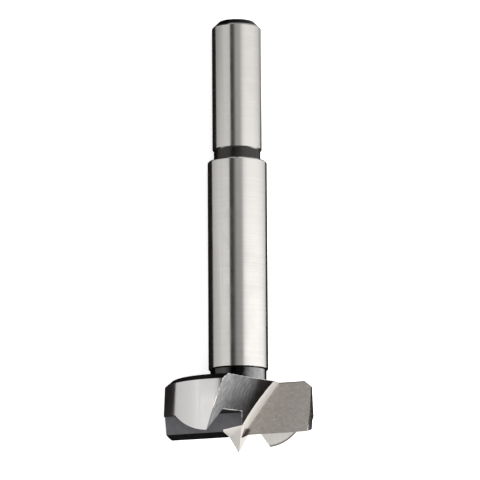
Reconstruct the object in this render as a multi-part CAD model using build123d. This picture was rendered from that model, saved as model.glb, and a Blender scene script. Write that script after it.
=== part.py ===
from build123d import *
import math
import os

# A Forstner bit for clean flat-bottomed 30 mm holes, turned and ground from one bar of tool steel.
# It is shaped upright first: Z is its axis, 0 at the centre point's tip, with the shank upwards.
# X runs out along the first cutting edge, and seen from the shank the bit turns clockwise.
# Half of the head is cut, and half a turn about the axis gives the other half.

# Turned blank: diameters
head_diameter = 30.0
head_back_taper = 0.25
head_chamfer_depth = 1.35
neck_diameter = 11.3
collar_diameter = 12.0
groove_diameter = 9.45
shank_diameter = 10.0
edge_break = 0.25

# Turned blank: levels along the axis
spur_level = 3.0
edge_level = 3.5
full_diameter_level = 7.5
rim_level = 13.15
head_top_level = 14.3
collar_level = 16.7
groove_level = 59.3
shank_level = 61.55
total_length = 88.3
shank_chamfer = 1.4

# Each wing is a slanted plate: its rake face leads, and its back is parallel to it
rake_angle = 21.0
relief_angle = 14.0
edge_lead = 0.9
wing_thickness = 2.8
inner_edge_radius = 2.4

# Hollow behind each wing, out to the spur that scores the rim of the hole.
# Its ceiling is a slightly twisted face: levels at the wing and at the spur, at the hub and at the rim
ceiling_at_hub = (7.7, 7.85)
ceiling_at_rim = (7.75, 6.1)
spur_bevel_angle = 54.5
hollow_end_offset = 0.6
hollow_end_angle = 22.5

# Throat in front of each wing, where the chips leave
land_offset = 1.3
land_angle = 30.0
land_width = 3.85
land_widest_level = 8.9
land_narrowing = 0.042
land_fillet = 0.25
throat_rim_offset = 0.6
throat_rim_angle = 18.0
throat_hollow = 0.6

# Centre point: a four-sided pyramid. Two ridges run to the inner ends of the cutting edges,
# and the slopes of the other two are given here, with those of the facet at its root
point_ridge_lead = (0.29, -0.43)
point_root_level = 5.3
web_slope_out = 0.125
web_slope_back = 0.36
web_depth = 2.6
web_fall = 0.25

head_radius = head_diameter / 2
far = head_diameter
below = -1.0
above = head_top_level + 2.0


def rise(angle, run):
    return math.tan(math.radians(angle)) * run


def rake_y(level):
    """Place of the rake face across the wing, at a level."""
    return -edge_lead + rise(rake_angle, level - edge_level)


def land_x(level):
    """Place of the ground land beside the rake face, at a level."""
    return land_offset + rise(land_angle, level - edge_level)


def wing_back_y(level):
    return rake_y(level) + wing_thickness


# Foot of the wing's back, where it meets the relief behind the cutting edge
foot_depth = wing_thickness / (1 - rise(rake_angle, 1) * rise(relief_angle, 1))
back_foot = foot_depth - edge_lead
back_foot_level = edge_level + rise(relief_angle, foot_depth)


def turned_blank():
    head = head_radius
    rim = head - head_back_taper
    neck = neck_diameter / 2
    collar = collar_diameter / 2
    groove = groove_diameter / 2
    shank = shank_diameter / 2
    outline = Polyline(
        (0, spur_level - 1),
        (head, spur_level - 1),
        (head, full_diameter_level),
        (rim, rim_level),
        (rim - head_chamfer_depth, head_top_level),
        (neck, head_top_level),
        (neck, collar_level),
        (collar - edge_break, collar_level),
        (collar, collar_level + edge_break),
        (collar, groove_level - edge_break),
        (collar - edge_break, groove_level),
        (groove, groove_level),
        (groove, shank_level),
        (shank - edge_break, shank_level),
        (shank, shank_level + edge_break),
        (shank, total_length - shank_chamfer),
        (shank - shank_chamfer, total_length),
        (0, total_length),
        close=True,
    )
    half_section = Plane.XZ * make_face(outline)
    return revolve(half_section, axis=Axis.Z)


def along_wing(points, start, end, fall=0.0):
    """Bar with a section in Y and Z, run along X from start to end and falling as it goes."""
    section = Plane.YZ.offset(start) * make_face(Polyline(*points, close=True))
    return extrude(section, amount=(end - start) * math.hypot(1, fall), dir=(1, 0, -fall))


def relief_cut():
    """Relief ground behind the cutting edge, at the wing's foot."""
    lead = wing_thickness
    points = [
        (-lead, below),
        (-lead, edge_level - rise(relief_angle, lead - edge_lead)),
        (back_foot, back_foot_level),
        (back_foot, below),
    ]
    return along_wing(points, inner_edge_radius, far)


def hollow_section(x, ceiling):
    at_wing, at_spur = ceiling
    bevel = math.tan(math.radians(spur_bevel_angle))
    past_rim = far - head_radius
    points = [
        (back_foot, below - bevel * past_rim),
        (back_foot, back_foot_level),
        (wing_back_y(at_wing), at_wing),
        (head_radius - (at_spur - spur_level) / bevel, at_spur),
        (far, spur_level - bevel * past_rim),
        (far, below - bevel * past_rim),
    ]
    return Plane.YZ.offset(x) * make_face(Polyline(*points, close=True))


def hollow_cut():
    """Hollow between the wing's back and the spur's bevel, ended by a wall near the hub."""
    at_hub = hollow_section(-head_radius / 2, ceiling_at_hub)
    at_rim = hollow_section(head_radius + 1, ceiling_at_rim)
    hub_side = Pos(-far - hollow_end_offset, 0, 0) * Box(far * 2, far * 4, far * 8)
    return loft([at_hub, at_rim], ruled=True) - Rot(0, 0, hollow_end_angle) * hub_side


def web_cut():
    """Facet from the inner end of the cutting edge up to the root of the centre point, and down again."""
    level = edge_level + edge_lead * web_slope_back + inner_edge_radius * web_slope_out
    start = -head_radius / 2
    front = level - start * (web_slope_out - web_slope_back)
    ridge = level - start * web_slope_out + web_depth * web_slope_back
    back = ridge + (start + web_depth) * web_fall
    points = [(start, below), (start, front), (web_depth, ridge), (-start, back), (-start, below)]
    across = along_wing(points, start, inner_edge_radius, web_slope_out)
    edge_line = math.degrees(math.atan2(edge_lead, inner_edge_radius))
    other_half = Pos(0, -far, 0) * Box(far * 2, far * 2, far * 2)
    return across - Rot(0, 0, -edge_line) * other_half


def throat_section(level):
    width = land_width - land_narrowing * (level - land_widest_level) ** 2
    corner = (land_x(level), rake_y(level) - width)
    rim = (rise(throat_rim_angle, level - spur_level) - throat_rim_offset, -head_radius)
    bow = throat_hollow * (level - full_diameter_level) / (head_top_level - full_diameter_level)
    middle = ((corner[0] + rim[0]) / 2 - bow, (corner[1] + rim[1]) / 2)
    wall = ThreePointArc(rim, middle, corner)
    rest = Polyline(corner, (far, corner[1]), (far, -far), (rim[0], -far), rim)
    return Pos(0, 0, level) * make_face(wall + rest)


def throat_cut():
    """Milled throat in front of the wing, with its slightly hollow end wall."""
    middle = (below + above) / 2
    return loft([throat_section(level) for level in (below, middle, above)])


def rake_cut():
    """Deeper grind in the throat, which leaves the flat rake face and the land beside it."""
    under_rake = [(rake_y(below), below), (rake_y(above), above), (-far, above), (-far, below)]
    beside_land = [(land_x(below), below), (land_x(above), above), (far, above), (far, below)]
    across = extrude(Plane.XZ * make_face(Polyline(*beside_land, close=True)), amount=far, both=True)
    grind = along_wing(under_rake, 0, far) & across
    corner = grind.edges().sort_by_distance((land_x(edge_level), rake_y(edge_level), edge_level))[0]
    return fillet(corner, land_fillet)


def centre_point():
    growth = point_root_level / edge_level
    out_x, out_y = inner_edge_radius * growth, -edge_lead * growth
    lead_x, lead_y = (point_root_level * slope for slope in point_ridge_lead)
    root = Polyline((out_x, out_y), (-lead_x, -lead_y), (-out_x, -out_y), (lead_x, lead_y), close=True)
    base = Pos(0, 0, point_root_level) * make_face(root)
    return loft([Vertex(0, 0, 0), base], ruled=True)


def both_sides(shape):
    return shape + Rot(0, 0, 180) * shape


def upright_bit():
    bit = turned_blank()
    bit -= both_sides(relief_cut())
    bit -= both_sides(hollow_cut())
    bit -= both_sides(web_cut())
    bit += centre_point()
    bit -= both_sides(throat_cut())
    bit -= both_sides(rake_cut())
    return bit


def laid_down(upright):
    """Bit at rest: on the two corners of the head across its lower throat, and on the shank's end.

    The floor plane touches both corners and the shank's end circle. That gives the direction
    in which the upright bit would look down, and the slope of its axis.
    """
    shank = shank_diameter / 2
    shank_end_level = total_length - shank_chamfer
    edge_corner = nearest_corner(upright, (-head_radius, edge_lead, edge_level))
    rim_corner = nearest_corner(upright, (-rise(throat_rim_angle, rim_level), head_radius, rim_level))
    edge_reach = shank_end_level - edge_corner.Z
    rim_reach = shank_end_level - rim_corner.Z
    across = edge_corner.X / edge_reach - rim_corner.X / rim_reach
    along = edge_corner.Y / edge_reach - rim_corner.Y / rim_reach
    gap = shank / edge_reach - shank / rim_reach
    down = math.atan2(along, across) - math.acos(gap / math.hypot(across, along))
    drop = edge_corner.X * math.cos(down) + edge_corner.Y * math.sin(down) - shank
    slope = math.atan2(drop, edge_reach)
    turned = Rot(-90 - math.degrees(slope), 0, 0) * Rot(0, 0, 90 - math.degrees(down)) * upright
    box = turned.bounding_box()
    return Pos(-box.center().X, -box.center().Y, -box.min.Z) * turned


def nearest_corner(shape, place):
    return shape.vertices().sort_by_distance(place)[0]


os.makedirs("parts", exist_ok=True)
bit = laid_down(upright_bit())
export_step(bit, "parts/bit.step")
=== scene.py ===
import math

import bmesh
import bpy
import numpy as np
from mathutils import Matrix, Vector


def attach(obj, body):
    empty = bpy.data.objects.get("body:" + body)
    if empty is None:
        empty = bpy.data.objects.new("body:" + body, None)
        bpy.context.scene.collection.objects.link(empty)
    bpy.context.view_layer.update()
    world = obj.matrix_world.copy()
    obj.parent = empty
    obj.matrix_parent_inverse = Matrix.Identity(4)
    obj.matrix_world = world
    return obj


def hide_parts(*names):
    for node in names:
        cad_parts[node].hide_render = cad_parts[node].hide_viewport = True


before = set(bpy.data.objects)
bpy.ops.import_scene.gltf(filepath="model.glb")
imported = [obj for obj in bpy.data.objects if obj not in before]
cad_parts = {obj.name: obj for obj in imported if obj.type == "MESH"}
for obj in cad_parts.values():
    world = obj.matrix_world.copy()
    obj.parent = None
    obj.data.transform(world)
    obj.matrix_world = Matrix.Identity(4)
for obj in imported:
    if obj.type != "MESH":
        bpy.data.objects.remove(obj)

for name in ("Cube", "Light", "Camera"):
    if name in bpy.data.objects:
        bpy.data.objects.remove(bpy.data.objects[name])
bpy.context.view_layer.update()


# The turned bar.
# The bit is one piece of tool steel. It starts as a bar that is turned to its steps and hardened, which
# leaves a black oxide skin, and then its shank, its collar and the rim of its head are ground bright.
# Its sizes are in millimetres, for the upright bit: Z is its axis, from the centre point's tip.

HEAD_RADIUS = 15.0
HEAD_BACK_RADIUS = 14.75
HEAD_CHAMFER = 1.35
NECK_RADIUS = 5.65
COLLAR_RADIUS = 6.0
GROOVE_RADIUS = 4.725
SHANK_RADIUS = 5.0
EDGE_BREAK = 0.25
SPUR_LEVEL = 3.0
EDGE_LEVEL = 3.5
FULL_DIAMETER_LEVEL = 7.5
RIM_LEVEL = 13.15
HEAD_TOP_LEVEL = 14.3
COLLAR_LEVEL = 16.7
GROOVE_LEVEL = 59.3
SHANK_LEVEL = 61.55
TOTAL_LENGTH = 88.3
SHANK_CHAMFER = 1.4
BRIGHT_CHAMFER = 0.35
AROUND = 240

# The bit lies on two corners of its head and on the end of its shank. To get there it is turned about
# its own axis, laid down about X with its axis a little past level, and moved.
REST_TURN = 50.688223
REST_SLOPE = 4.903427
REST_SHIFT = (0.0, -44.142277, 12.40961)

lay_down = Matrix.Rotation(math.radians(-90 - REST_SLOPE), 3, "X")
rest_turn = np.array(lay_down @ Matrix.Rotation(math.radians(-REST_TURN), 3, "Z"))


def linear(colour):
    """sRGB hex to linear red, green and blue, with a full alpha."""
    channel = np.array([int(colour[i : i + 2], 16) for i in (1, 3, 5)]) / 255
    light = np.where(channel <= 0.04045, channel / 12.92, ((channel + 0.055) / 1.055) ** 2.4)
    return tuple(light.tolist()) + (1.0,)


def add(tree, kind, settings=None, inputs=None, stops=()):
    """Adds one node with its settings. An input gets a value, or a link from another node's socket.

    Some inputs go by number. MapRange has its value as 0, the range that it comes from as 1 and 2, and
    the range that it goes to as 3 and 4. A mix of colours has its share as 0, the colours as 6 and 7, and
    its result as output 2.
    """
    node = tree.nodes.new("ShaderNode" + kind)
    for name, value in (settings or {}).items():
        setattr(node, name, value)
    for name, value in (inputs or {}).items():
        if isinstance(value, bpy.types.NodeSocket):
            tree.links.new(value, node.inputs[name])
        else:
            node.inputs[name].default_value = value
    if stops:
        elements = node.color_ramp.elements
        for element, (place, colour) in zip(elements, (stops[0], stops[-1])):
            element.position, element.color = place, colour
        for place, colour in stops[1:-1]:
            elements.new(place).color = colour
    return node


def steel_finish(name, colour, metallic, roughness):
    """Finish on the bit, with the place of each point on the upright bit in millimetres, for patterns.

    The place is the lying point scaled to millimetres, turned back and moved back.
    """
    material = bpy.data.materials.new(name)
    material.use_nodes = True
    tree = material.node_tree
    shader = tree.nodes["Principled BSDF"]
    shader.inputs["Base Color"].default_value = linear(colour)
    shader.inputs["Metallic"].default_value = metallic
    shader.inputs["Roughness"].default_value = roughness
    upright = {
        "Vector": add(tree, "TexCoord").outputs["Object"],
        "Location": -rest_turn.T @ REST_SHIFT,
        "Rotation": Matrix(rest_turn.T.tolist()).to_euler("XYZ"),
        "Scale": (1000, 1000, 1000),
    }
    return material, tree, shader, add(tree, "Mapping", None, upright).outputs[0]


# What many of the finishes share: a pattern stretched to sizes in millimetres, a mix of two colours, and
# the range that holds nearly all values of a noise texture
STRETCHED = {"vector_type": "TEXTURE"}
COLOURS = {"data_type": "RGBA"}
NOISE_RANGE = {1: 0.3, 2: 0.7}

# Cylindrically ground tool steel: a soft mirror with fine lines round it. The real lines are about
# 0.02 mm apart. These are 0.25 mm apart so that they show, and they run on for some 15 mm.
GRINDING_LINES = (15.0, 15.0, 0.25)
ground_finishes = []
for name, bright, dull in (("ground_shank", "#EAE7E3", "#DDDAD6"), ("ground_rim", "#FCF9F8", "#F2F0EF")):
    material, tree, shader, place = steel_finish(name, bright, 1.0, 0.15)
    along = add(tree, "Mapping", STRETCHED, {"Vector": place, "Scale": GRINDING_LINES})
    lines = add(tree, "TexNoise", None, {"Vector": along.outputs[0], "Scale": 1.0, "Detail": 4.0})
    cloud = add(tree, "TexNoise", None, {"Vector": place, "Scale": 0.3, "Detail": 2.0})
    tint = add(tree, "Mix", COLOURS, {0: lines.outputs[0], 6: linear(dull), 7: linear(bright)})
    shine = add(tree, "MapRange", None, {0: cloud.outputs[0], **NOISE_RANGE, 3: 0.12, 4: 0.19})
    bump = add(tree, "Bump", None, {"Strength": 0.16, "Distance": 2e-6, "Height": lines.outputs[0]})
    tree.links.new(tint.outputs[2], shader.inputs["Base Color"])
    tree.links.new(shine.outputs[0], shader.inputs["Roughness"])
    tree.links.new(bump.outputs[0], shader.inputs["Normal"])
    ground_finishes.append(material)
ground_shank, ground_rim = ground_finishes

# Black oxide from hardening, on turned steel: near black, with a dull shine and turning marks 0.3 mm
# apart. It is thinner in the groove, where the steel shows through, and the grinding of the shank takes
# it off the first BRIGHT_CHAMFER of the shank end's chamfer.
TURNING_MARKS = (20.0, 20.0, 0.3)
oxide_finishes = []
for name, thick, thin in (("black_oxide", "#101010", "#1D1C1B"), ("groove_oxide", "#3F3E3C", "#53514F")):
    material, tree, shader, place = steel_finish(name, thick, 1.0, 0.3)
    along = add(tree, "Mapping", STRETCHED, {"Vector": place, "Scale": TURNING_MARKS})
    marks = add(tree, "TexNoise", None, {"Vector": along.outputs[0], "Scale": 1.0, "Detail": 2.0})
    cloud = add(tree, "TexNoise", None, {"Vector": place, "Scale": 0.8, "Detail": 3.0})
    tint = add(tree, "Mix", COLOURS, {0: cloud.outputs[0], 6: linear(thick), 7: linear(thin)})
    shine = add(tree, "MapRange", None, {0: cloud.outputs[0], **NOISE_RANGE, 3: 0.24, 4: 0.36})
    bump = add(tree, "Bump", None, {"Strength": 0.4, "Distance": 6e-6, "Height": marks.outputs[0]})
    tree.links.new(tint.outputs[2], shader.inputs["Base Color"])
    tree.links.new(shine.outputs[0], shader.inputs["Roughness"])
    tree.links.new(bump.outputs[0], shader.inputs["Normal"])
    oxide_finishes.append(material)
black_oxide, groove_oxide = oxide_finishes

# The same oxide on the neck, with a painted reflection on it: grey on one side, a black stripe, and pale on
# the other side. Colours by the place across the bit, along the upright X
NECK_REFLECTION_BANDS = [(-5.65, "#545452"), (-1.0, "#545452"), (0.7, "#1E1E1E"), (2.9, "#1E1E1E"), (3.4, "#4E4E4E")]
NECK_REFLECTION_BANDS += [(4.7, "#868686"), (5.2, "#949494"), (5.65, "#B0B0AF")]
neck_painted_reflection, tree, shader, place = steel_finish("neck_painted_reflection", "#545452", 1.0, 0.12)
cloud = add(tree, "TexNoise", None, {"Vector": place, "Scale": 1.2, "Detail": 3.0})
drift = add(tree, "MapRange", None, {0: cloud.outputs[0], **NOISE_RANGE, 3: -0.25, 4: 0.25})
side = add(tree, "SeparateXYZ", None, {0: place})
side = add(tree, "Math", {"operation": "ADD"}, {0: side.outputs[0], 1: drift.outputs[0]})
across = add(tree, "MapRange", None, {0: side.outputs[0], 1: -NECK_RADIUS, 2: NECK_RADIUS})
# Painted reflection bands, fixed to the bit
reflection_bands = [((x / NECK_RADIUS + 1) / 2, linear(colour)) for x, colour in NECK_REFLECTION_BANDS]
tint = add(tree, "ValToRGB", None, {0: across.outputs[0]}, reflection_bands)
tree.links.new(tint.outputs[0], shader.inputs["Base Color"])


def closed_mesh(name, points, faces, finishes):
    """Mesh from arrays of points and faces, with one finish per face and all faces outwards."""
    mesh = bpy.data.meshes.new(name)
    mesh.from_pydata(points.tolist(), [], faces)
    slots = list(dict.fromkeys(finishes))
    for finish in slots:
        mesh.materials.append(finish)
    mesh.polygons.foreach_set("material_index", [slots.index(finish) for finish in finishes])
    work = bmesh.new()
    work.from_mesh(mesh)
    bmesh.ops.recalc_face_normals(work, faces=work.faces)
    work.to_mesh(mesh)
    work.free()
    piece = bpy.data.objects.new(name, mesh)
    bpy.context.scene.collection.objects.link(piece)
    return piece


def joined_rings(count, around):
    """Faces with four corners that join count rings of points, which are numbered one after the other."""
    here = np.arange(around)
    after = np.roll(here, -1)
    start = np.arange(count - 1)[:, None] * around
    bands = np.stack((start + here, start + after, start + around + after, start + around + here), axis=-1)
    return bands.reshape(-1, 4).tolist()


def turned(name, outline):
    """Outline carried round the axis.

    A row (radius, level, finish) of the outline becomes the ring (radius cos a, radius sin a, level)
    for a from 0 to one turn. The first and last rows are on the axis and become poles, and a finish
    covers the band up to its row.
    """
    radius, level = (np.array(column, float) for column in list(zip(*outline))[:2])
    turn = np.linspace(0, 2 * np.pi, AROUND, endpoint=False)
    across, deep = (np.outer(radius[1:-1], wave) for wave in (np.cos(turn), np.sin(turn)))
    rings = np.stack((across, deep, np.outer(level[1:-1], np.ones(AROUND))), axis=-1)
    count = len(rings)
    points = np.vstack((rings.reshape(-1, 3), (0, 0, level[0]), (0, 0, level[-1])))
    here = np.arange(AROUND)
    after = np.roll(here, -1)
    top = (count - 1) * AROUND
    foot_fan = np.stack((after, here, np.full(AROUND, count * AROUND)), axis=-1)
    end_fan = np.stack((top + here, top + after, np.full(AROUND, count * AROUND + 1)), axis=-1)
    faces = foot_fan.tolist() + joined_rings(count, AROUND) + end_fan.tolist()
    return closed_mesh(name, points, faces, [row[2] for row in outline[1:] for _ in range(AROUND)])


bit = turned(
    "forstner_bit",
    [
        (0, SPUR_LEVEL - 1, black_oxide),
        (HEAD_RADIUS, SPUR_LEVEL - 1, black_oxide),
        (HEAD_RADIUS, FULL_DIAMETER_LEVEL, ground_rim),
        (HEAD_BACK_RADIUS, RIM_LEVEL, ground_rim),
        (HEAD_BACK_RADIUS - HEAD_CHAMFER, HEAD_TOP_LEVEL, black_oxide),
        (NECK_RADIUS, HEAD_TOP_LEVEL, black_oxide),
        (NECK_RADIUS, COLLAR_LEVEL, neck_painted_reflection),
        (COLLAR_RADIUS - EDGE_BREAK, COLLAR_LEVEL, black_oxide),
        (COLLAR_RADIUS, COLLAR_LEVEL + EDGE_BREAK, ground_shank),
        (COLLAR_RADIUS, GROOVE_LEVEL - EDGE_BREAK, ground_shank),
        (COLLAR_RADIUS - EDGE_BREAK, GROOVE_LEVEL, ground_shank),
        (GROOVE_RADIUS, GROOVE_LEVEL, groove_oxide),
        (GROOVE_RADIUS, SHANK_LEVEL, groove_oxide),
        (SHANK_RADIUS - EDGE_BREAK, SHANK_LEVEL, groove_oxide),
        (SHANK_RADIUS, SHANK_LEVEL + EDGE_BREAK, ground_shank),
        (SHANK_RADIUS, TOTAL_LENGTH - SHANK_CHAMFER, ground_shank),
        (SHANK_RADIUS - BRIGHT_CHAMFER, TOTAL_LENGTH - SHANK_CHAMFER + BRIGHT_CHAMFER, ground_shank),
        (SHANK_RADIUS - SHANK_CHAMFER, TOTAL_LENGTH, black_oxide),
        (0, TOTAL_LENGTH, black_oxide),
    ],
)


# The undersides of the two wings.
# Each wing is a slanted plate. Its relief and the hollow behind it are milled before hardening, so they
# keep a dark oxide, and the bevel that sharpens the spur at the rim is ground bright afterwards.

RAKE_ANGLE = 21.0
RELIEF_ANGLE = 14.0
EDGE_LEAD = 0.9
WING_THICKNESS = 2.8
INNER_EDGE_RADIUS = 2.4
CEILING_AT_HUB = (7.7, 7.85)
CEILING_AT_RIM = (7.75, 6.1)
SPUR_BEVEL_ANGLE = 54.5
HOLLOW_END_OFFSET = 0.6
HOLLOW_END_ANGLE = 22.5
HOLLOW_REACH = (-7.5, 16.0)
CEILING_STEPS = 6
BELOW = -1.0
FAR = 30.0

# Milled steel under an even grey-black oxide. It is matt, and milling marks 0.5 mm apart run along it
wing_oxide, tree, shader, place = steel_finish("wing_oxide", "#5A595B", 0.0, 0.6)
shader.inputs["Specular IOR Level"].default_value = 0.25
along = add(tree, "Mapping", STRETCHED, {"Vector": place, "Scale": (8.0, 0.5, 0.5)})
marks = add(tree, "TexNoise", None, {"Vector": along.outputs[0], "Scale": 1.0, "Detail": 3.0})
cloud = add(tree, "TexNoise", None, {"Vector": place, "Scale": 0.7, "Detail": 4.0})
shade = add(tree, "MapRange", None, {0: cloud.outputs[0], **NOISE_RANGE})
tint = add(tree, "Mix", COLOURS, {0: shade.outputs[0], 6: linear("#4E4D4F"), 7: linear("#58575A")})
bump = add(tree, "Bump", None, {"Strength": 0.3, "Distance": 8e-6, "Height": marks.outputs[0]})
tree.links.new(tint.outputs[2], shader.inputs["Base Color"])
tree.links.new(bump.outputs[0], shader.inputs["Normal"])

# The relief and the hollow's ceiling keep the thick black scale of the hardening oven. It hardly shines,
# it is mottled in patches of about 1 mm, and the milling marks under it are 0.6 mm apart
scale_finishes = []
for name, deep, thin, shine in (
    ("relief_scale", "#020202", "#0D0C0C", 0.015),
    ("ceiling_scale", "#050505", "#191818", 0.05),
):
    material, tree, shader, place = steel_finish(name, deep, 0.0, 0.5)
    shader.inputs["Specular IOR Level"].default_value = shine
    along = add(tree, "Mapping", STRETCHED, {"Vector": place, "Scale": (6.0, 0.6, 0.6)})
    marks = add(tree, "TexNoise", None, {"Vector": along.outputs[0], "Scale": 1.0, "Detail": 3.0})
    cloud = add(tree, "TexNoise", None, {"Vector": place, "Scale": 1.0, "Detail": 4.0})
    both = add(tree, "Math", {"operation": "ADD"}, {0: cloud.outputs[0], 1: marks.outputs[0]})
    shade = add(tree, "MapRange", None, {0: both.outputs[0], 1: 0.75, 2: 1.25})
    tint = add(tree, "Mix", COLOURS, {0: shade.outputs[0], 6: linear(deep), 7: linear(thin)})
    bump = add(tree, "Bump", None, {"Strength": 0.3, "Distance": 1e-5, "Height": marks.outputs[0]})
    tree.links.new(tint.outputs[2], shader.inputs["Base Color"])
    tree.links.new(bump.outputs[0], shader.inputs["Normal"])
    scale_finishes.append(material)
relief_scale, ceiling_scale = scale_finishes

# Steel ground with a coarse wheel: pale and satin, with scratches 0.15 mm apart down the bevel and a
# dark line along the rim
RIM_LINE_START = 14.68
RIM_LINE_END = 14.85
spur_bevel, tree, shader, place = steel_finish("spur_bevel", "#D3CFCA", 0.35, 0.45)
along = add(tree, "Mapping", STRETCHED, {"Vector": place, "Scale": (0.15, 2.5, 2.5)})
lines = add(tree, "TexNoise", None, {"Vector": along.outputs[0], "Scale": 1.0, "Detail": 3.0})
tint = add(tree, "Mix", COLOURS, {0: lines.outputs[0], 6: linear("#BDB9B3"), 7: linear("#D6D2CD")})
flat = add(tree, "VectorMath", {"operation": "MULTIPLY"}, {0: place, 1: (1, 1, 0)})
radius = add(tree, "VectorMath", {"operation": "LENGTH"}, {0: flat.outputs[0]})
dark_rim_line = add(tree, "MapRange", None, {0: radius.outputs["Value"], 1: RIM_LINE_START, 2: RIM_LINE_END, 4: 0.75})
edged = add(tree, "Mix", COLOURS, {0: dark_rim_line.outputs[0], 6: tint.outputs[2], 7: linear("#3A3835")})
tree.links.new(edged.outputs[2], shader.inputs["Base Color"])


def rise(angle, run):
    """Rise over a run of a slope at an angle in degrees."""
    return np.tan(np.radians(angle)) * run


def rake_y(level):
    """Place of the rake face across the wing, at a level."""
    return rise(RAKE_ANGLE, level - EDGE_LEVEL) - EDGE_LEAD


def carried(name, sections, finishes):
    """Closed solid whose skin joins equal outlines, one after the other.

    sections is an array (outline, corner, xyz). finishes has one finish per side of the outline, the
    side from each corner to the next, and the first and last outlines are closed by flat ends.
    """
    count, corners = sections.shape[:2]
    first = np.arange(corners)
    ends = [first[::-1].tolist(), (first + (count - 1) * corners).tolist()]
    faces = ends + joined_rings(count, corners)
    return closed_mesh(name, sections.reshape(-1, 3), faces, finishes[:1] * 2 + finishes * (count - 1))


def along_wing(xs, outlines):
    """Outlines of (y, z) corners placed at their x, as an array (outline, corner, xyz)."""
    outlines = np.array(outlines, float)
    across = np.broadcast_to(np.array(xs, float)[:, None, None], outlines.shape[:2] + (1,))
    return np.concatenate((across, outlines), axis=-1)


foot_depth = WING_THICKNESS / (1 - rise(RAKE_ANGLE, 1) * rise(RELIEF_ANGLE, 1))
back_foot = (foot_depth - EDGE_LEAD, EDGE_LEVEL + rise(RELIEF_ANGLE, foot_depth))
relief_outline = [
    (-WING_THICKNESS, BELOW),
    (-WING_THICKNESS, EDGE_LEVEL - rise(RELIEF_ANGLE, WING_THICKNESS - EDGE_LEAD)),
    back_foot,
    (back_foot[0], BELOW),
]
relief_cutter = carried(
    "relief_cutter",
    along_wing((INNER_EDGE_RADIUS, FAR), [relief_outline] * 2),
    [relief_scale] * 4,
)


def hollow_outline(ceiling):
    """Wing's back, ceiling and spur bevel. The ceiling runs evenly from its level at the wing to the spur."""
    bevel = rise(SPUR_BEVEL_ANGLE, 1)
    past_rim = bevel * (FAR - HEAD_RADIUS)
    share = np.linspace(0, 1, CEILING_STEPS + 1)
    levels = ceiling[0] + (ceiling[1] - ceiling[0]) * share
    wing_side = rake_y(ceiling[0]) + WING_THICKNESS
    spur_side = HEAD_RADIUS - (ceiling[1] - SPUR_LEVEL) / bevel
    ceiling_line = np.stack((wing_side + (spur_side - wing_side) * share, levels), axis=-1)
    foot = [(back_foot[0], BELOW - past_rim), back_foot]
    outside = [(FAR, SPUR_LEVEL - past_rim), (FAR, BELOW - past_rim)]
    return np.vstack((foot, ceiling_line, outside))


# From hub to rim the hollow's lines start where they meet the upright wall that ends it near the hub
ceilings = [hollow_outline(CEILING_AT_HUB), hollow_outline(CEILING_AT_RIM)]
at_hub, at_rim = along_wing(HOLLOW_REACH, ceilings)
end_turn = math.radians(HOLLOW_END_ANGLE)
end_wall = np.array((math.cos(end_turn), math.sin(end_turn), 0))
meets = (-HOLLOW_END_OFFSET - at_hub @ end_wall) / ((at_rim - at_hub) @ end_wall)
at_wall = at_hub + (at_rim - at_hub) * meets[:, None]
hollow_cutter = carried(
    "hollow_cutter",
    np.stack((at_wall, at_rim)),
    [wing_oxide] * 2 + [ceiling_scale] * CEILING_STEPS + [spur_bevel] * 3,
)


# The centre point.
# A four-sided pyramid is ground on the hub between the wings, and guides the bit. A facet at its root
# runs into each cutting edge. It is ground after hardening, so it is pale and satin.

POINT_RIDGE_LEAD = (0.29, -0.43)
POINT_ROOT_LEVEL = 5.3
WEB_SLOPE_OUT = 0.125
WEB_SLOPE_BACK = 0.36
WEB_DEPTH = 2.6
WEB_FALL = 0.25
WEB_START = -6.0
OVERLAP = 0.01

# Tool steel ground by hand on a fine wheel, with scratches 0.12 mm apart that run up the slopes
ground_point, tree, shader, place = steel_finish("ground_point", "#D2CDC7", 0.3, 0.42)
along = add(tree, "Mapping", STRETCHED, {"Vector": place, "Scale": (0.12, 0.12, 1.5)})
lines = add(tree, "TexNoise", None, {"Vector": along.outputs[0], "Scale": 1.0, "Detail": 3.0})
tint = add(tree, "Mix", COLOURS, {0: lines.outputs[0], 6: linear("#C9C4BD"), 7: linear("#DBD7D2")})
bump = add(tree, "Bump", None, {"Strength": 0.2, "Distance": 4e-6, "Height": lines.outputs[0]})
tree.links.new(tint.outputs[2], shader.inputs["Base Color"])
tree.links.new(bump.outputs[0], shader.inputs["Normal"])

web_level = EDGE_LEVEL + EDGE_LEAD * WEB_SLOPE_BACK + INNER_EDGE_RADIUS * WEB_SLOPE_OUT


def web_outline(x):
    """The facet rises from the line between the cutting edges' inner ends to WEB_DEPTH, then it falls.

    It starts OVERLAP past that line, so that no two cutters share a wall.
    """
    line = -x * EDGE_LEAD / INNER_EDGE_RADIUS - OVERLAP
    level = web_level - x * WEB_SLOPE_OUT
    ridge = level + WEB_DEPTH * WEB_SLOPE_BACK
    far_side = HEAD_RADIUS / 2
    back = ridge - (far_side - WEB_DEPTH) * WEB_FALL
    facet = [(line, level + line * WEB_SLOPE_BACK), (WEB_DEPTH, ridge), (far_side, back)]
    return [(line, BELOW)] + facet + [(far_side, BELOW)]


web_ends = (WEB_START, INNER_EDGE_RADIUS + OVERLAP)
web_outlines = [web_outline(x) for x in web_ends]
web_cutter = carried("web_cutter", along_wing(web_ends, web_outlines), [ground_point] * 5)

growth = POINT_ROOT_LEVEL / EDGE_LEVEL
edge_end = np.array((INNER_EDGE_RADIUS, -EDGE_LEAD)) * growth
ridge_end = np.array(POINT_RIDGE_LEAD) * POINT_ROOT_LEVEL
root = np.stack((edge_end, -ridge_end, -edge_end, ridge_end))
centre_point = closed_mesh(
    "centre_point",
    np.vstack((np.column_stack((root, np.full(4, POINT_ROOT_LEVEL))), (0, 0, 0))),
    [[0, 1, 2, 3], [0, 1, 4], [1, 2, 4], [2, 3, 4], [3, 0, 4]],
    [ground_point] * 5,
)


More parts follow.
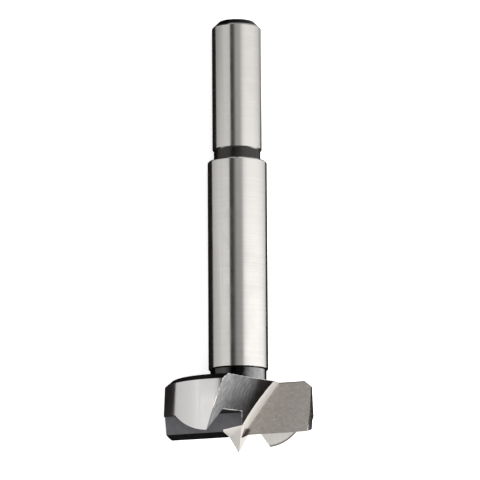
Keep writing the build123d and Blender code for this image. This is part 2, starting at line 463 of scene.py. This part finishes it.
# The throats.
# Each is milled through the head in front of a wing, with a slightly hollow end wall, so that chips can
# leave. A second, deeper grind makes the wing's flat rake face and the narrow land beside it.

LAND_OFFSET = 1.3
LAND_ANGLE = 30.0
LAND_WIDTH = 3.85
LAND_WIDEST_LEVEL = 8.9
LAND_NARROWING = 0.042
LAND_FILLET = 0.25
THROAT_RIM_OFFSET = 0.6
THROAT_RIM_ANGLE = 18.0
THROAT_HOLLOW = 0.6
ABOVE = HEAD_TOP_LEVEL + 2.0
THROAT_LEVELS = 14
THROAT_STEPS = 16
FILLET_STEPS = 6
LAND_STRIPS = 2

# Milled steel with the cutter's curved streaks about 0.5 mm apart. Its colour holds painted shade and dark
# reflection. It darkens towards the land as |Y|, the way out to the rim, gets small, where the real wall
# curves into the land. Low down it is darker as well, which is also painted shade
MILLING_MARKS = (0.5, 0.32, 3.5)
MARKS_LEAN = (-0.25, 0, 0)
PAINTED_SHADE_START = 2.0
PAINTED_SHADE_END = 14.0
LOW_SHADE_LEVEL = 6.0
FULL_LIGHT_LEVEL = 13.0
THROAT_SHADE_STOPS = [(0.0, "#302E2C"), (0.06, "#383634"), (0.13, "#4E4D4C"), (0.24, "#747476"), (0.38, "#88888A")]
THROAT_SHADE_STOPS += [(0.53, "#929294"), (0.68, "#9D9D9F"), (0.84, "#B7B7B9"), (1.0, "#C9C9CB")]
milled_throat_painted_shade, tree, shader, place = steel_finish("milled_throat_painted_shade", "#9A9A9C", 1.0, 0.33)
parts = add(tree, "SeparateXYZ", None, {0: place})
outward = add(tree, "Math", {"operation": "ABSOLUTE"}, {0: parts.outputs[1]})
wander = add(tree, "TexNoise", None, {"Vector": place, "Scale": 0.7, "Detail": 3.0})
drift = add(tree, "MapRange", None, {0: wander.outputs[0], 3: -0.7, 4: 0.7})
depth = add(tree, "Math", {"operation": "ADD"}, {0: outward.outputs[0], 1: drift.outputs[0]})
# Painted shade: the colour darkens towards the land, where |Y| is small
share = add(tree, "MapRange", None, {0: depth.outputs[0], 1: PAINTED_SHADE_START, 2: PAINTED_SHADE_END})
painted_shade = add(tree, "ValToRGB", None, {0: share.outputs[0]}, [(at, linear(colour)) for at, colour in THROAT_SHADE_STOPS])
bent = add(tree, "Mapping", STRETCHED, {"Vector": place, "Rotation": MARKS_LEAN, "Scale": MILLING_MARKS})
bent = bent.outputs[0]
streaks = add(tree, "TexNoise", None, {"Vector": bent, "Scale": 1.0, "Detail": 4.0, "Distortion": 0.4})
shade = add(tree, "MapRange", None, {0: streaks.outputs[0], **NOISE_RANGE, 3: 0.64, 4: 1.22})
# Painted shade: darker low down
low_painted_shade = add(tree, "MapRange", None, {0: parts.outputs[2], 1: LOW_SHADE_LEVEL, 2: FULL_LIGHT_LEVEL, 3: 0.62, 4: 1.0})
shade = add(tree, "Math", {"operation": "MULTIPLY"}, {0: shade.outputs[0], 1: low_painted_shade.outputs[0]})
tint = add(tree, "VectorMath", {"operation": "SCALE"}, {0: painted_shade.outputs[0], "Scale": shade.outputs[0]})
bump = add(tree, "Bump", None, {"Strength": 0.35, "Distance": 1e-5, "Height": streaks.outputs[0]})
tree.links.new(tint.outputs[0], shader.inputs["Base Color"])
tree.links.new(bump.outputs[0], shader.inputs["Normal"])


def on_first_half(tree, place):
    """Both halves of the head look alike: X and Y times the sign of X turn the second onto the first."""
    x = add(tree, "SeparateXYZ", None, {0: place}).outputs[0]
    sign = add(tree, "Math", {"operation": "SIGN"}, {0: x}).outputs[0]
    signs = add(tree, "CombineXYZ", None, {0: sign, 1: sign, 2: 1.0})
    folded = add(tree, "VectorMath", {"operation": "MULTIPLY"}, {0: place, 1: signs.outputs[0]})
    return folded.outputs[0]


# The land is ground on a flat wheel: pale, satin, with fine scratches 0.15 mm apart along it. At its foot
# it shares the rake face's brown patch: the grinding's burn and the painted shade of a small notch
LAND_STAIN_SHADE_START = 5.0
LAND_STAIN_SHADE_END = 4.6
ground_land, tree, shader, place = steel_finish("ground_land", "#D4CFC9", 0.25, 0.45)
lean = (math.radians(-RAKE_ANGLE), math.radians(LAND_ANGLE), 0)
parts = add(tree, "SeparateXYZ", None, {0: place})
low = add(tree, "MapRange", None, {0: parts.outputs[2], 1: LAND_STAIN_SHADE_START, 2: LAND_STAIN_SHADE_END, 4: 0.8})
along = {"Vector": on_first_half(tree, place), "Rotation": lean, "Scale": (0.15, 0.15, 3.0)}
along = add(tree, "Mapping", STRETCHED, along)
lines = add(tree, "TexNoise", None, {"Vector": along.outputs[0], "Scale": 1.0, "Detail": 3.0})
tint = add(tree, "Mix", COLOURS, {0: lines.outputs[0], 6: linear("#CBC6BF"), 7: linear("#DDD9D4")})
stained_and_shaded = add(tree, "Mix", COLOURS, {0: low.outputs[0], 6: tint.outputs[2], 7: linear("#5A4C43")})
tree.links.new(stained_and_shaded.outputs[2], shader.inputs["Base Color"])

# The rake face is lapped dull: a matt warm grey with grains about 0.5 mm across, fine pits, painted glints,
# a brown patch at the inner end of its cutting edge, and oxide left along its top edge. The patch is the
# grinding's burn plus the painted shade of the small notch that the wheel leaves there, which the shape
# lacks. It starts and is full at these X and levels
STAIN_SHADE_START = (3.0, 5.1)
STAIN_SHADE_END = (2.2, 4.6)
TOP_OXIDE_START = 13.95
TOP_OXIDE_END = 14.2
rake_face, tree, shader, place = steel_finish("rake_face", "#958F87", 0.2, 0.55)
place = on_first_half(tree, place)
grain = add(tree, "TexNoise", None, {"Vector": place, "Scale": 1.3, "Detail": 6.0, "Roughness": 0.7})
grain = add(tree, "MapRange", None, {0: grain.outputs[0], **NOISE_RANGE})
tint = add(tree, "Mix", COLOURS, {0: grain.outputs[0], 6: linear("#8C8780"), 7: linear("#A19B95")})
specks = add(tree, "TexNoise", None, {"Vector": place, "Scale": 3.0, "Detail": 2.0})
pits = add(tree, "MapRange", None, {0: specks.outputs[0], 1: 0.37, 2: 0.31, 4: 0.40})
pitted = add(tree, "Mix", COLOURS, {0: pits.outputs[0], 6: tint.outputs[2], 7: linear("#66615C")})
# Painted glints: small pale specks in the colour
painted_glints = add(tree, "MapRange", None, {0: specks.outputs[0], 1: 0.64, 2: 0.71, 4: 0.55})
bright = add(tree, "Mix", COLOURS, {0: painted_glints.outputs[0], 6: pitted.outputs[2], 7: linear("#C3BFB9")})
parts = add(tree, "SeparateXYZ", None, {0: place})
uneven = add(tree, "MapRange", None, {0: specks.outputs[0], 1: 0.35, 2: 0.65, 3: 0.35, 4: -0.35})
inner = add(tree, "Math", {"operation": "ADD"}, {0: parts.outputs[0], 1: uneven.outputs[0]})
inner = add(tree, "MapRange", None, {0: inner.outputs[0], 1: STAIN_SHADE_START[0], 2: STAIN_SHADE_END[0]})
low = add(tree, "MapRange", None, {0: parts.outputs[2], 1: STAIN_SHADE_START[1], 2: STAIN_SHADE_END[1]})
# Brown burn and painted shade of the notch
stain_and_shade = add(tree, "Math", {"operation": "MULTIPLY"}, {0: inner.outputs[0], 1: low.outputs[0]})
stained_and_shaded = add(tree, "Mix", COLOURS, {0: stain_and_shade.outputs[0], 6: bright.outputs[2], 7: linear("#3C302A")})
bump = add(tree, "Bump", None, {"Strength": 0.3, "Distance": 1.5e-5, "Height": specks.outputs[0]})
top = {0: parts.outputs[2], 1: TOP_OXIDE_START, 2: TOP_OXIDE_END, 4: 0.7}
top = add(tree, "MapRange", None, top)
edged = add(tree, "Mix", COLOURS, {0: top.outputs[0], 6: stained_and_shaded.outputs[2], 7: linear("#45423F")})
tree.links.new(edged.outputs[2], shader.inputs["Base Color"])
tree.links.new(bump.outputs[0], shader.inputs["Normal"])


def land_x(level):
    """Place of the ground land beside the rake face, at a level."""
    return rise(LAND_ANGLE, level - EDGE_LEVEL) + LAND_OFFSET


def throat_outlines(levels):
    """Throat at each level: a wall from the rim to the land's corner, bowed by a parabola, then outside."""
    level = levels[:, None]
    share = np.linspace(0, 1, THROAT_STEPS + 1)[None]
    width = LAND_WIDTH - LAND_NARROWING * (level - LAND_WIDEST_LEVEL) ** 2
    rim_x = rise(THROAT_RIM_ANGLE, level - SPUR_LEVEL) - THROAT_RIM_OFFSET
    corner_x, corner_y = land_x(level), rake_y(level) - width
    bow = THROAT_HOLLOW * (level - FULL_DIAMETER_LEVEL) / (HEAD_TOP_LEVEL - FULL_DIAMETER_LEVEL)
    wall_x = rim_x + (corner_x - rim_x) * share - bow * 4 * share * (1 - share)
    wall_y = -HEAD_RADIUS + (corner_y + HEAD_RADIUS) * share
    one = np.ones_like(level)
    x = np.hstack((wall_x, FAR * one, FAR * one, rim_x))
    y = np.hstack((wall_y, corner_y, -FAR * one, -FAR * one))
    return np.stack((x, y, level + np.zeros_like(x)), axis=-1)


throat_cutter = carried(
    "throat_cutter",
    throat_outlines(np.linspace(BELOW, ABOVE, THROAT_LEVELS)),
    [milled_throat_painted_shade] * (THROAT_STEPS + 4),
)


def grind_outlines(levels):
    """Corner between land and rake face, rounded, and carried along the line in which the planes meet."""
    slope_x, slope_y = rise(LAND_ANGLE, 1), rise(RAKE_ANGLE, 1)
    corner = np.array((LAND_OFFSET, -EDGE_LEAD, EDGE_LEVEL))
    off_land = np.array((1, 0, -slope_x)) / math.hypot(1, slope_x)
    off_rake = np.array((0, -1, slope_y)) / math.hypot(1, slope_y)
    centre = corner + (off_land + off_rake) * LAND_FILLET / (1 + off_land @ off_rake)
    share = np.linspace(0, 1, FILLET_STEPS + 1)[:, None]
    spoke = off_land * (1 - share) + off_rake * share
    rounded = centre - spoke / np.linalg.norm(spoke, axis=1, keepdims=True) * LAND_FILLET
    line = np.array((slope_x, slope_y, 1))
    rounded = rounded - line * (rounded[:, 2:] - EDGE_LEVEL)
    outside = [(FAR, -EDGE_LEAD, EDGE_LEVEL), (FAR, -FAR, EDGE_LEVEL), (LAND_OFFSET, -FAR, EDGE_LEVEL)]
    return np.vstack((rounded, outside))[None] + line * (levels[:, None, None] - EDGE_LEVEL)


grind_cutter = carried(
    "grind_cutter",
    grind_outlines(np.array((BELOW, ABOVE))),
    [ground_land] * LAND_STRIPS + [rake_face] * (FILLET_STEPS - LAND_STRIPS + 3) + [ground_land],
)


# The finished bit.
# The cuts are taken out of the bar on both sides of its axis, with the second half of the head half a
# turn from the first, and the bit is laid down. It is one solid, so nothing fixes it together.


def half_turned(cutter):
    """Copy of a cutter, half a turn about the bit's axis away: X and Y change sign."""
    copy = cutter.copy()
    copy.data = cutter.data.copy()
    points = np.empty(len(copy.data.vertices) * 3)
    copy.data.vertices.foreach_get("co", points)
    copy.data.vertices.foreach_set("co", (points.reshape(-1, 3) * (-1, -1, 1)).ravel())
    bpy.context.scene.collection.objects.link(copy)
    return copy


tools = (relief_cutter, hollow_cutter, web_cutter, throat_cutter, grind_cutter)
cuts = [(tool, half_turned(tool)) for tool in tools]
steps = [(tool, "DIFFERENCE") for pair in cuts[:3] for tool in pair]
steps.append((centre_point, "UNION"))
steps += [(tool, "DIFFERENCE") for pair in cuts[3:] for tool in pair]
for tool, operation in steps:
    cut = bit.modifiers.new(tool.name, "BOOLEAN")
    cut.operation = operation
    cut.object = tool
    cut.solver = "EXACT"
    cut.material_mode = "TRANSFER"

bpy.context.view_layer.update()
shaped = bpy.data.meshes.new_from_object(bit.evaluated_get(bpy.context.evaluated_depsgraph_get()))
bit.modifiers.clear()
bit.data = shaped
for tool, _ in steps:
    bpy.data.objects.remove(tool)

# Handling wears the oxide off the throats' edges, so they are a little blunt. Their pale colour is a painted
# highlight of the light that the edges catch. It is patchy and fainter low down
WORN_WIDTH = 0.11
WORN_ANGLE = 25.0
DULL_LEVEL = 6.0
BRIGHT_LEVEL = 7.8
SAME_POINT = 0.004
SHARP_ANGLE = 20.0
worn_edge_highlight, tree, shader, place = steel_finish("worn_edge_highlight", "#E8E5E1", 0.3, 0.4)
cloud = add(tree, "TexNoise", None, {"Vector": place, "Scale": 1.5, "Detail": 3.0})
patchy = add(tree, "MapRange", None, {0: cloud.outputs[0], 1: 0.35, 2: 0.55})
parts = add(tree, "SeparateXYZ", None, {0: place})
reached = {0: parts.outputs[2], 1: DULL_LEVEL, 2: BRIGHT_LEVEL, 3: 0.15, 4: 1.0}
reached = add(tree, "MapRange", None, reached)
share = add(tree, "Math", {"operation": "MULTIPLY"}, {0: patchy.outputs[0], 1: reached.outputs[0]})
# Painted highlight on the worn edges
tint = add(tree, "Mix", COLOURS, {0: share.outputs[0], 6: linear("#5A5856"), 7: linear("#F2F0ED")})
tree.links.new(tint.outputs[2], shader.inputs["Base Color"])
shaped.materials.append(worn_edge_highlight)
throat_slot = shaped.materials.find(milled_throat_painted_shade.name)
work = bmesh.new()
work.from_mesh(shaped)
bmesh.ops.remove_doubles(work, verts=work.verts, dist=SAME_POINT)
worn = []
for edge in work.edges:
    beside = {face.material_index == throat_slot for face in edge.link_faces}
    if beside == {True, False} and edge.calc_face_angle_signed() > math.radians(WORN_ANGLE):
        worn.append(edge)
bmesh.ops.bevel(
    work,
    geom=worn,
    offset=WORN_WIDTH,
    offset_type="WIDTH",
    segments=1,
    profile=0.5,
    affect="EDGES",
    clamp_overlap=False,
    material=shaped.materials.find(worn_edge_highlight.name),
)

# A point with only two edges can leave two triangles back to back once the faces are cut into triangles.
# Such points lie within 0.02 mm of a straight edge on the rim, so they are dissolved. The second round is
# for the points that the first one leaves with two edges
for _ in range(2):
    spare = [point for point in work.verts if len(point.link_edges) == 2]
    bmesh.ops.dissolve_verts(work, verts=spare)
work.to_mesh(shaped)
work.free()

points = np.empty(len(shaped.vertices) * 3)
shaped.vertices.foreach_get("co", points)
points = (points.reshape(-1, 3) @ rest_turn.T + REST_SHIFT) / 1000
shaped.vertices.foreach_set("co", points.ravel())
shaped.polygons.foreach_set("use_smooth", np.ones(len(shaped.polygons), bool))
shaped.set_sharp_from_angle(angle=math.radians(SHARP_ANGLE))
shaped.update()
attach(bit, "root")
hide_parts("bit")


# The floor.
# White paper. It keeps the bit's soft shadow, and a glow that only the camera sees keeps it white. The
# steel's reflections see a painted glow instead, with painted shade that makes it greyer close to the bit,
# where the bit and the card would shade the paper.

FLOOR_SIZE = 4.0
PAPER_SEEN = 0.55

# Brightness of the reflected paper by the place in millimetres across the bit and along it. The two are
# multiplied, and a colour ramp holds the second as its share of PAPER_PEAK, because it passes 1
PAPER_REACH = 150.0
PAPER_PEAK = 2.0
PAPER_ACROSS = [(-150, 0.75), (-80, 0.69), (-45, 0.64), (-30, 0.60), (-20, 0.54), (-14, 0.47), (-10, 0.40)]
PAPER_ACROSS += [(0, 0.32), (14, 0.45), (25, 0.48), (50, 0.62), (100, 0.78), (150, 0.90)]
PAPER_ALONG = [(-150, 1.0), (-8, 1.0), (-3, 1.04), (4, 1.14), (13, 1.11), (23, 1.05), (33, 0.97), (40, 0.88)]
PAPER_ALONG += [(50, 0.85), (150, 0.85)]


def flat_sheet(name, corners, height):
    """Flat sheet with the given (x, y) corners, in metres, at a height."""
    mesh = bpy.data.meshes.new(name)
    mesh.from_pydata([(x, y, height) for x, y in corners], [], [list(range(len(corners)))])
    sheet = bpy.data.objects.new(name, mesh)
    bpy.context.scene.collection.objects.link(sheet)
    material = bpy.data.materials.new(name)
    material.use_nodes = True
    mesh.materials.append(material)
    shader = material.node_tree.nodes["Principled BSDF"]
    shader.inputs["Roughness"].default_value = 1.0
    shader.inputs["Specular IOR Level"].default_value = 0.0
    return sheet, material.node_tree, shader


def greys(places, low, high, peak):
    """Stops of a grey ramp from places between low and high, each with its share of the peak."""
    return [((place - low) / (high - low), (value / peak,) * 3 + (1,)) for place, value in places]


half = FLOOR_SIZE / 2
square = [(-half, -half), (half, -half), (half, half), (-half, half)]
_, tree, shader = flat_sheet("white_paper", square, 0)
shader.inputs["Base Color"].default_value = linear("#EDEDED")
shader.inputs["Emission Color"].default_value = (1, 1, 1, 1)
rays = add(tree, "LightPath")
glow = add(tree, "Math", {"operation": "MULTIPLY"}, {0: rays.outputs["Is Camera Ray"], 1: PAPER_SEEN})
tree.links.new(glow.outputs[0], shader.inputs["Emission Strength"])
# Painted shade: in reflections the paper is greyer close to the bit
parts = add(tree, "SeparateXYZ", None, {0: add(tree, "TexCoord").outputs["Object"]})
reach = {1: -PAPER_REACH / 1000, 2: PAPER_REACH / 1000}
aside = add(tree, "MapRange", None, {0: parts.outputs[0], **reach})
shading = greys(PAPER_ACROSS, -PAPER_REACH, PAPER_REACH, 1.0)
paper = add(tree, "ValToRGB", None, {0: aside.outputs[0]}, shading)
forward = add(tree, "MapRange", None, {0: parts.outputs[1], **reach})
lengths = greys(PAPER_ALONG, -PAPER_REACH, PAPER_REACH, PAPER_PEAK)
fall = add(tree, "ValToRGB", None, {0: forward.outputs[0]}, lengths)
lit = add(tree, "VectorMath", {"operation": "MULTIPLY"}, {0: paper.outputs[0], 1: fall.outputs[0]})
reflected = add(tree, "Emission", None, {"Color": lit.outputs[0], "Strength": PAPER_PEAK})
glossy = rays.outputs["Is Glossy Ray"]
mixed = add(tree, "MixShader", None, {0: glossy, 1: shader.outputs[0], 2: reflected.outputs[0]})
tree.links.new(mixed.outputs[0], tree.nodes["Material Output"].inputs["Surface"])

# Black card on the paper under the bit, with its corners in millimetres. Only the steel's reflections see
# it. It is a painted dark reflection that gives the shank, the collar and the rim the dark edges that ground
# steel has in a studio.
CARD_HEIGHT = 0.0001
CARD_CORNERS = [
    (5, 58), (8, 42), (20, 30), (33, 18), (50, -18), (52, -26), (90, -28), (90, -42), (-24, -42),
    (-23.5, -29), (-15.8, -26.5), (-7.3, 58),
]
corners = [(x / 1000, y / 1000) for x, y in CARD_CORNERS]
card, _, shader = flat_sheet("painted_reflection_card", corners, CARD_HEIGHT)
shader.inputs["Base Color"].default_value = linear("#242221")
card.visible_camera = False
card.visible_diffuse = False
card.visible_shadow = False


# The studio.
# Two long soft panels stand on both sides of the bit, with a dark gap and a grey wall between them. The
# camera sees white behind them.

# Each has its brightness by the angle in degrees to the side of straight up, and by the cosine of the
# angle to the bit's axis, which is 1 straight beyond the shank's end. The two are multiplied. The ground
# shank and collar mirror what lies between 0.13 and 0.23
PANELS = (
    (
        "right_panel",
        [(-90, 0.0), (-11, 0.0), (-3, 0.80), (10, 0.96), (25, 1.0), (50, 1.0), (65, 0.95), (90, 0.82)],
        [(-1.0, 1.0), (0.0, 1.10), (0.13, 1.36), (0.155, 1.38), (0.168, 1.35), (0.184, 1.24)]
        + [(0.196, 1.10), (0.205, 0.96), (0.214, 0.85), (0.228, 0.80), (0.5, 0.85), (1.0, 0.9)],
    ),
    (
        "left_panel",
        [(-90, 1.0), (-62, 1.0), (-58, 0.0), (90, 0.0)],
        [(-1.0, 0.65), (0.0, 0.75), (0.13, 0.74), (0.151, 0.76), (0.160, 0.92), (0.172, 0.94), (0.184, 0.89)]
        + [(0.196, 0.77), (0.205, 0.67), (0.216, 0.60), (0.228, 0.57), (0.5, 0.55), (1.0, 0.55)],
    ),
    (
        "grey_wall",
        [(-90, 0.0), (-62, 0.0), (-59, 0.12), (-46, 0.12), (-40, 0.38), (-32, 0.80), (-18, 0.85), (-11, 1.0)]
        + [(-3, 0.0), (90, 0.0)],
        [(-1.0, 0.45), (0.140, 0.34), (0.155, 0.36), (0.172, 0.48), (0.2, 0.50), (0.5, 0.50), (1.0, 0.50)],
    ),
)

world = bpy.data.worlds.new("studio")
bpy.context.scene.world = world
world.use_nodes = True
tree = world.node_tree
tree.nodes.clear()
looked = add(tree, "TexCoord").outputs["Generated"]
parts = add(tree, "SeparateXYZ", None, {0: looked})
angle = add(tree, "Math", {"operation": "ARCTAN2"}, {0: parts.outputs[0], 1: parts.outputs[2]})
aside = add(tree, "MapRange", None, {0: angle.outputs[0], 1: -math.pi / 2, 2: math.pi / 2})
along = add(tree, "VectorMath", {"operation": "DOT_PRODUCT"}, {0: looked, 1: rest_turn @ (0, 0, 1)})
along = add(tree, "MapRange", None, {0: along.outputs["Value"], 1: -1.0, 2: 1.0})
whole = (0.0, 0.0, 0.0)
for name, angles, lengths in PANELS:
    peak = max(value for place, value in lengths)
    turn = add(tree, "ValToRGB", {"label": name}, {0: aside.outputs[0]}, greys(angles, -90, 90, 1))
    fall = add(tree, "ValToRGB", {"label": name}, {0: along.outputs[0]}, greys(lengths, -1, 1, peak))
    lit = add(tree, "VectorMath", {"operation": "MULTIPLY"}, {0: turn.outputs[0], 1: fall.outputs[0]})
    lit = add(tree, "VectorMath", {"operation": "SCALE"}, {0: lit.outputs[0], "Scale": peak})
    whole = add(tree, "VectorMath", {"operation": "ADD"}, {0: lit.outputs[0], 1: whole}).outputs[0]
studio = add(tree, "Background", None, {"Color": whole, "Strength": 1.0})
backdrop = add(tree, "Background", None, {"Color": (1, 1, 1, 1), "Strength": 1.0})
rays = add(tree, "LightPath")
seen = rays.outputs["Is Camera Ray"]
mixed = add(tree, "MixShader", None, {0: seen, 1: studio.outputs[0], 2: backdrop.outputs[0]})
add(tree, "OutputWorld", None, {"Surface": mixed.outputs[0]})

# Three large lamps lift the matt faces, and the steel doesn't mirror them: place in metres and watts
LAMPS = (
    ("key_lamp", (-0.35, 0.10, 0.60), 2.5),
    ("fill_lamp", (0.40, -0.30, 0.55), 3.7),
    ("tip_lamp", (-0.22, -0.60, 0.30), 1.8),
)
LAMP_SIZE = 0.5
for name, place, power in LAMPS:
    lamp = bpy.data.lights.new(name, "AREA")
    lamp.size = LAMP_SIZE
    lamp.energy = power
    stand = bpy.data.objects.new(name, lamp)
    stand.location = place
    stand.rotation_euler = (-Vector(place)).to_track_quat("-Z", "Y").to_euler()
    stand.visible_glossy = False
    bpy.context.scene.collection.objects.link(stand)


# The camera.
# It looks at the lying bit from the side and a little from the tip's end, as the photograph does, from
# far enough that the shank hardly narrows. Its angles are in degrees round the bit's own axis, and its
# distances in millimetres. FOCUS_PIXELS is its focal length in pixels of the picture.

LOOK_AZIMUTH = -67.411
LOOK_PITCH = 10.384
LOOK_ROLL = 0.35
LOOK_DISTANCE = 800.0
LOOK_LEVEL = 43.352
LOOK_ASIDE = 0.477
FOCUS_PIXELS = 3967.1
PICTURE_PIXELS = 480
SENSOR_WIDTH = 36.0

azimuth, pitch, roll = (math.radians(angle) for angle in (LOOK_AZIMUTH, LOOK_PITCH, LOOK_ROLL))
axis = rest_turn @ (0, 0, 1)
side = rest_turn @ (math.cos(azimuth), math.sin(azimuth), 0)
backward = side * math.cos(pitch) - axis * math.sin(pitch)
up = axis * math.cos(pitch) + side * math.sin(pitch)
right = np.cross(up, backward)
target = axis * LOOK_LEVEL + REST_SHIFT + right * LOOK_ASIDE
up = up * math.cos(roll) + right * math.sin(roll)
right = np.cross(up, backward)
look = np.eye(4)
look[:3] = np.column_stack((right, up, backward, (target + backward * LOOK_DISTANCE) / 1000))
lens = bpy.data.cameras.new("camera")
lens.sensor_width = SENSOR_WIDTH
lens.lens = FOCUS_PIXELS * SENSOR_WIDTH / PICTURE_PIXELS
lens.clip_start = 0.01
camera = bpy.data.objects.new("camera", lens)
bpy.context.scene.collection.objects.link(camera)
camera.matrix_world = Matrix(look.tolist())
bpy.context.scene.camera = camera
bpy.context.scene.view_settings.view_transform = "Standard"
